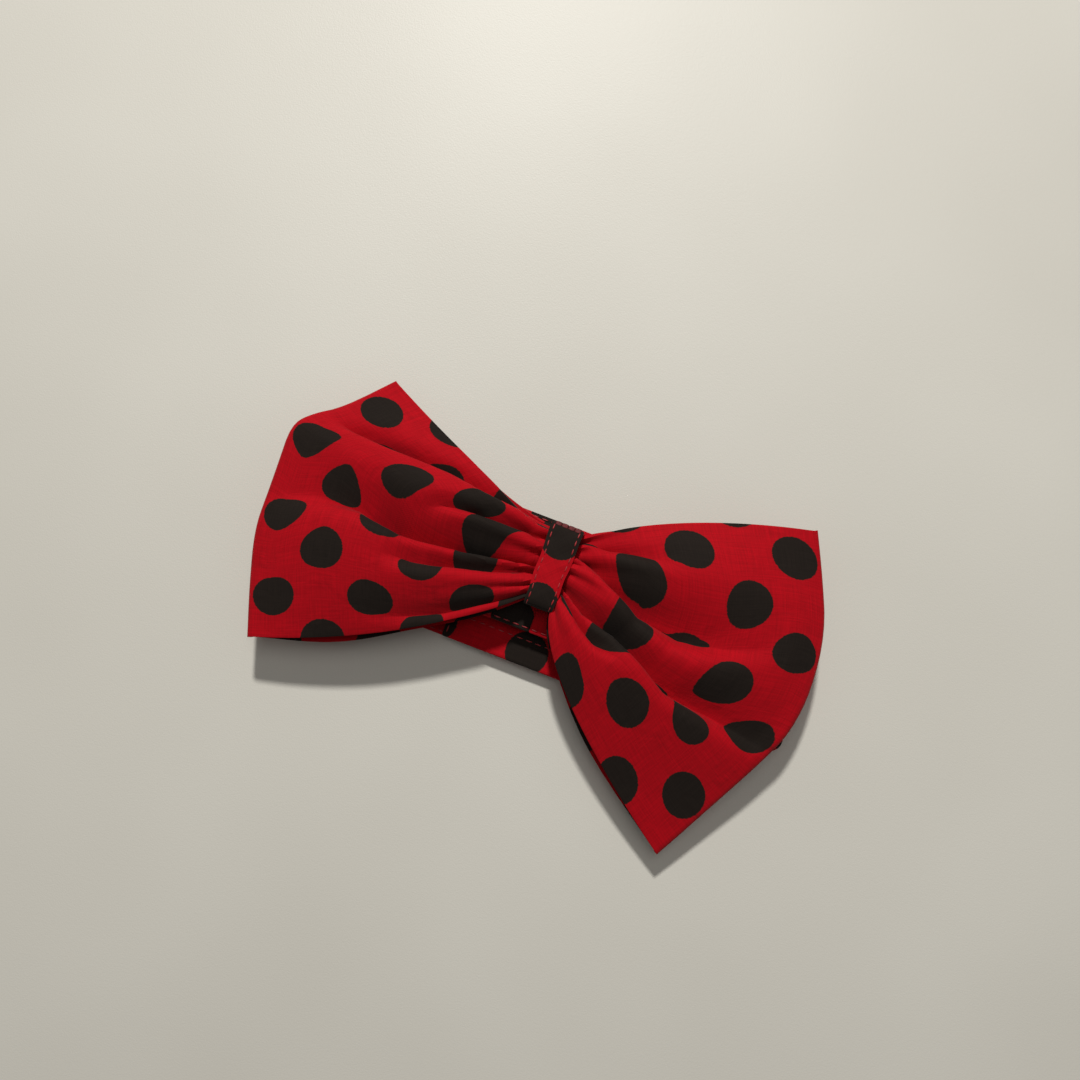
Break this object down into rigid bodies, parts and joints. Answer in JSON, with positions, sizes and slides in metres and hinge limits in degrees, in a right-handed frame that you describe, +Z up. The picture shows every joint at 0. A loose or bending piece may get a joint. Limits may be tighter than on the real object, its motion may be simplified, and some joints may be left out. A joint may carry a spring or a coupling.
{
  "type": "bow tie",
  "caption": "Pre-tied bow tie: a gathered dotted-cotton bow held by a narrow keeper on a flat neck band that fastens at the back with hook and loop tape.",
  "frame": {"origin": "on the resting surface, straight under the middle of the keeper", "axes": "+X along the bow towards its right wing, +Y towards the bow's upper edge, +Z up, out of the bow's face"},
  "size_m": [0.164, 0.1014, 0.0243],
  "materials": {
    "dotted_cotton": "matt plain-weave cotton, red with large black dots",
    "stiffener": "white non-woven",
    "red_thread": "polyester sewing thread, slight sheen",
    "tape": "black nylon pile and hooks"
  },
  "bodies": {
    "bow_and_band_front": {"bow_outer_ply": "dotted_cotton", "bow_interfacing": "stiffener", "bow_inner_ply": "dotted_cotton", "gathering_thread": "red_thread", "keeper_strip": "dotted_cotton", "keeper_topstitching": "red_thread", "keeper_top_tack": "red_thread", "keeper_band_tack": "red_thread", "band_front": "dotted_cotton", "band_front_topstitching": "red_thread"},
    "left_arm": {"band_left_arm": "dotted_cotton", "left_arm_topstitching": "red_thread"},
    "tab": {"fastening_tab": "dotted_cotton", "tab_topstitching": "red_thread", "loop_tape": "tape", "loop_tape_stitching": "red_thread"},
    "right_arm": {"band_right_arm": "dotted_cotton", "right_arm_topstitching": "red_thread", "hook_tape": "tape", "hook_tape_stitching": "red_thread"}
  },
  "joints": [
    {"name": "left_arm_fold", "type": "hinge", "parent": "bow_and_band_front", "child": "left_arm", "pos_m": [-0.07305, 0, 0], "axis": [0, 1, 0], "range_deg": [0, 165]},
    {"name": "right_arm_fold", "type": "hinge", "parent": "bow_and_band_front", "child": "right_arm", "pos_m": [0.07305, 0, 0], "axis": [0, 1, 0], "range_deg": [-66, 0]},
    {"name": "tab_peel", "type": "hinge", "parent": "left_arm", "child": "tab", "pos_m": [-0.024, 0, 0], "axis": [0, 1, 0], "range_deg": [0, 100]}
  ],
  "couplings": [
    {"joint": "right_arm_fold", "follows": "left_arm_fold", "ratio": -0.4}
  ]
}
